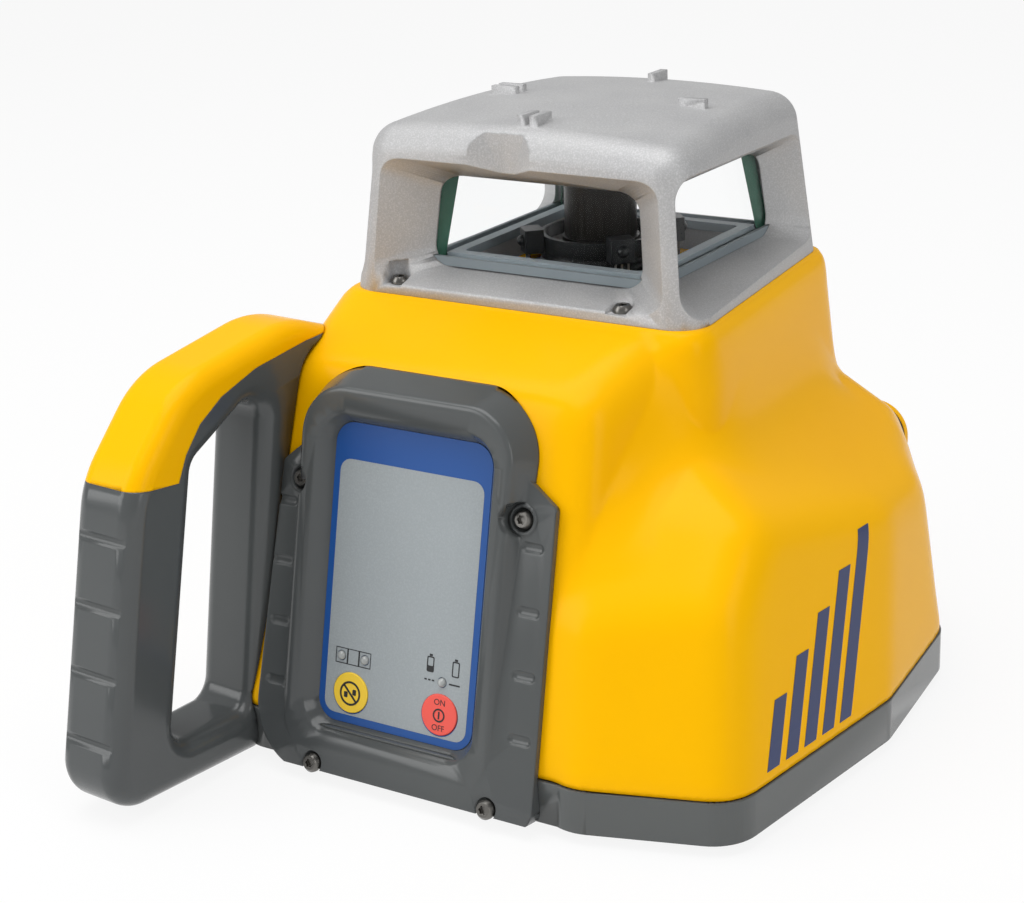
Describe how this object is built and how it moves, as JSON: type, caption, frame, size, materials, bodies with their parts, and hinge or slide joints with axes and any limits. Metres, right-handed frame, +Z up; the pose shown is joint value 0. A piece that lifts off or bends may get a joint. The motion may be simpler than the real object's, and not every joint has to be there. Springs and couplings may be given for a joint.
{
  "type": "rotary laser level",
  "caption": "Self-levelling rotary laser level: moulded housing with side handle and keypad, cast window head over a spinning rotor, gimballed laser and rear battery hatch.",
  "frame": {"origin": "mouth of the tripod thread under the rotor axis, on the ground plane of the feet", "axes": "+Z up along the rotor axis, -Y out of the keypad panel, +X to the right seen from the panel"},
  "size_m": [0.2104, 0.2707, 0.2031],
  "materials": {
    "yellow_plastic": "smooth satin moulding",
    "grey_plastic": "smooth dark grey moulding",
    "cast_aluminium": "bead-blasted casting",
    "window_glass": "clear float glass with green edges",
    "grey_rubber": "soft moulded seal",
    "black_rubber": "soft moulded rubber",
    "panel_print": "printed film, grey field with a blue border",
    "red_key": "printed film over a dome",
    "yellow_key": "printed film over a dome",
    "lamp_lens": "clear moulded lens",
    "black_plastic": "moulded, fine grain",
    "rotor_grey": "dark anodised and turned",
    "steel": "zinc plated",
    "brass": "machined",
    "circuit_board": "solder mask",
    "cell_wrap": "plain wrapped cell",
    "machined_aluminium": "machined",
    "optic_glass": "polished"
  },
  "bodies": {
    "housing": {"upper_housing": "yellow_plastic", "base_pan": "grey_plastic", "front_frame": "grey_plastic", "keypad_membrane": "panel_print", "indicator_lenses": "lamp_lens", "lighthouse": "cast_aluminium", "front_window": "window_glass", "right_window": "window_glass", "back_window": "window_glass", "left_window": "window_glass", "window_gasket": "grey_rubber", "handle_frame": "grey_plastic", "handle_cover": "yellow_plastic", "lighthouse_screws": "steel", "frame_screws": "steel", "rubber_feet": "black_rubber", "tripod_bush": "machined_aluminium", "base_screws": "steel", "handle_screws": "steel", "keypad_board": "circuit_board", "main_board": "circuit_board", "battery_tubes": "black_plastic", "battery_cells": "cell_wrap", "battery_contacts": "brass", "door_seal": "black_rubber", "door_hinge_pin": "steel", "gimbal_frame": "steel", "outer_gimbal_pins": "steel", "level_motors": "steel"},
    "gimbal": {"gimbal_ring": "machined_aluminium", "inner_gimbal_pins": "steel"},
    "carrier": {"laser_carrier": "machined_aluminium", "laser_module": "brass", "collimator_lens": "optic_glass", "spindle_bearings": "steel", "rotor_motor": "steel", "sensor_ring": "black_plastic", "sensor_blocks": "black_plastic", "sensor_domes": "black_plastic", "sensor_legs": "steel"},
    "rotor": {"rotor_head": "rotor_grey", "rotor_collar": "machined_aluminium", "rotor_gear": "brass", "penta_prism": "optic_glass", "exit_window": "optic_glass"},
    "pinion": {"motor_pinion": "brass"},
    "nut_x": {"level_nut_x": "brass"},
    "nut_y": {"level_nut_y": "brass"},
    "screw_x": {"level_screw_x": "steel"},
    "screw_y": {"level_screw_y": "steel"},
    "power_key": {"power_button": "red_key"},
    "manual_key": {"manual_button": "yellow_key"},
    "battery_hatch": {"battery_door": "yellow_plastic", "door_contact": "brass"},
    "hatch_catch": {"door_catch": "black_plastic"}
  },
  "joints": [
    {"name": "tilt_x", "type": "hinge", "parent": "housing", "child": "gimbal", "pos_m": [0, 0, 0.08], "axis": [1, 0, 0], "range_deg": [-5, 5]},
    {"name": "tilt_y", "type": "hinge", "parent": "gimbal", "child": "carrier", "pos_m": [0, 0, 0.08], "axis": [0, 1, 0], "range_deg": [-5, 5]},
    {"name": "rotor_spin", "type": "hinge", "parent": "carrier", "child": "rotor", "pos_m": [0, 0, 0.17], "axis": [0, 0, 1], "continuous": true},
    {"name": "pinion_spin", "type": "hinge", "parent": "carrier", "child": "pinion", "pos_m": [0.01481, 0.01481, 0.126], "axis": [0, 0, 1], "continuous": true},
    {"name": "nut_x_slide", "type": "slide", "parent": "housing", "child": "nut_x", "axis": [1, 0, 0], "range_m": [-0.0025, 0.0025]},
    {"name": "nut_y_slide", "type": "slide", "parent": "housing", "child": "nut_y", "axis": [0, 1, 0], "range_m": [-0.0025, 0.0025]},
    {"name": "screw_x_spin", "type": "hinge", "parent": "housing", "child": "screw_x", "pos_m": [-0.03, 0, 0.052], "axis": [1, 0, 0], "range_deg": [-445, 445]},
    {"name": "screw_y_spin", "type": "hinge", "parent": "housing", "child": "screw_y", "pos_m": [0, -0.03, 0.052], "axis": [0, 1, 0], "range_deg": [-445, 445]},
    {"name": "power_press", "type": "slide", "parent": "housing", "child": "power_key", "axis": [0, 0.9767, -0.2147], "range_m": [0, 0.0008], "stiffness_N_per_m": 800, "springref_m": -0.001},
    {"name": "manual_press", "type": "slide", "parent": "housing", "child": "manual_key", "axis": [0, 0.9767, -0.2147], "range_m": [0, 0.0008], "stiffness_N_per_m": 800, "springref_m": -0.001},
    {"name": "hatch_swing", "type": "hinge", "parent": "housing", "child": "battery_hatch", "pos_m": [0.0365, 0.07565, 0.0446], "axis": [0, 0, 1], "range_deg": [0, 95]},
    {"name": "catch_turn", "type": "hinge", "parent": "battery_hatch", "child": "hatch_catch", "pos_m": [0.0604, 0.078, 0.07305], "axis": [0, 1, 0], "range_deg": [0, 90]}
  ],
  "couplings": [
    {"joint": "pinion_spin", "follows": "rotor_spin", "ratio": -3.3333},
    {"joint": "nut_x_slide", "follows": "tilt_y", "m_per_rad": -0.028},
    {"joint": "screw_x_spin", "follows": "tilt_y", "ratio": -87.965},
    {"joint": "nut_y_slide", "follows": "tilt_x", "m_per_rad": 0.028},
    {"joint": "screw_y_spin", "follows": "tilt_x", "ratio": 87.965}
  ]
}
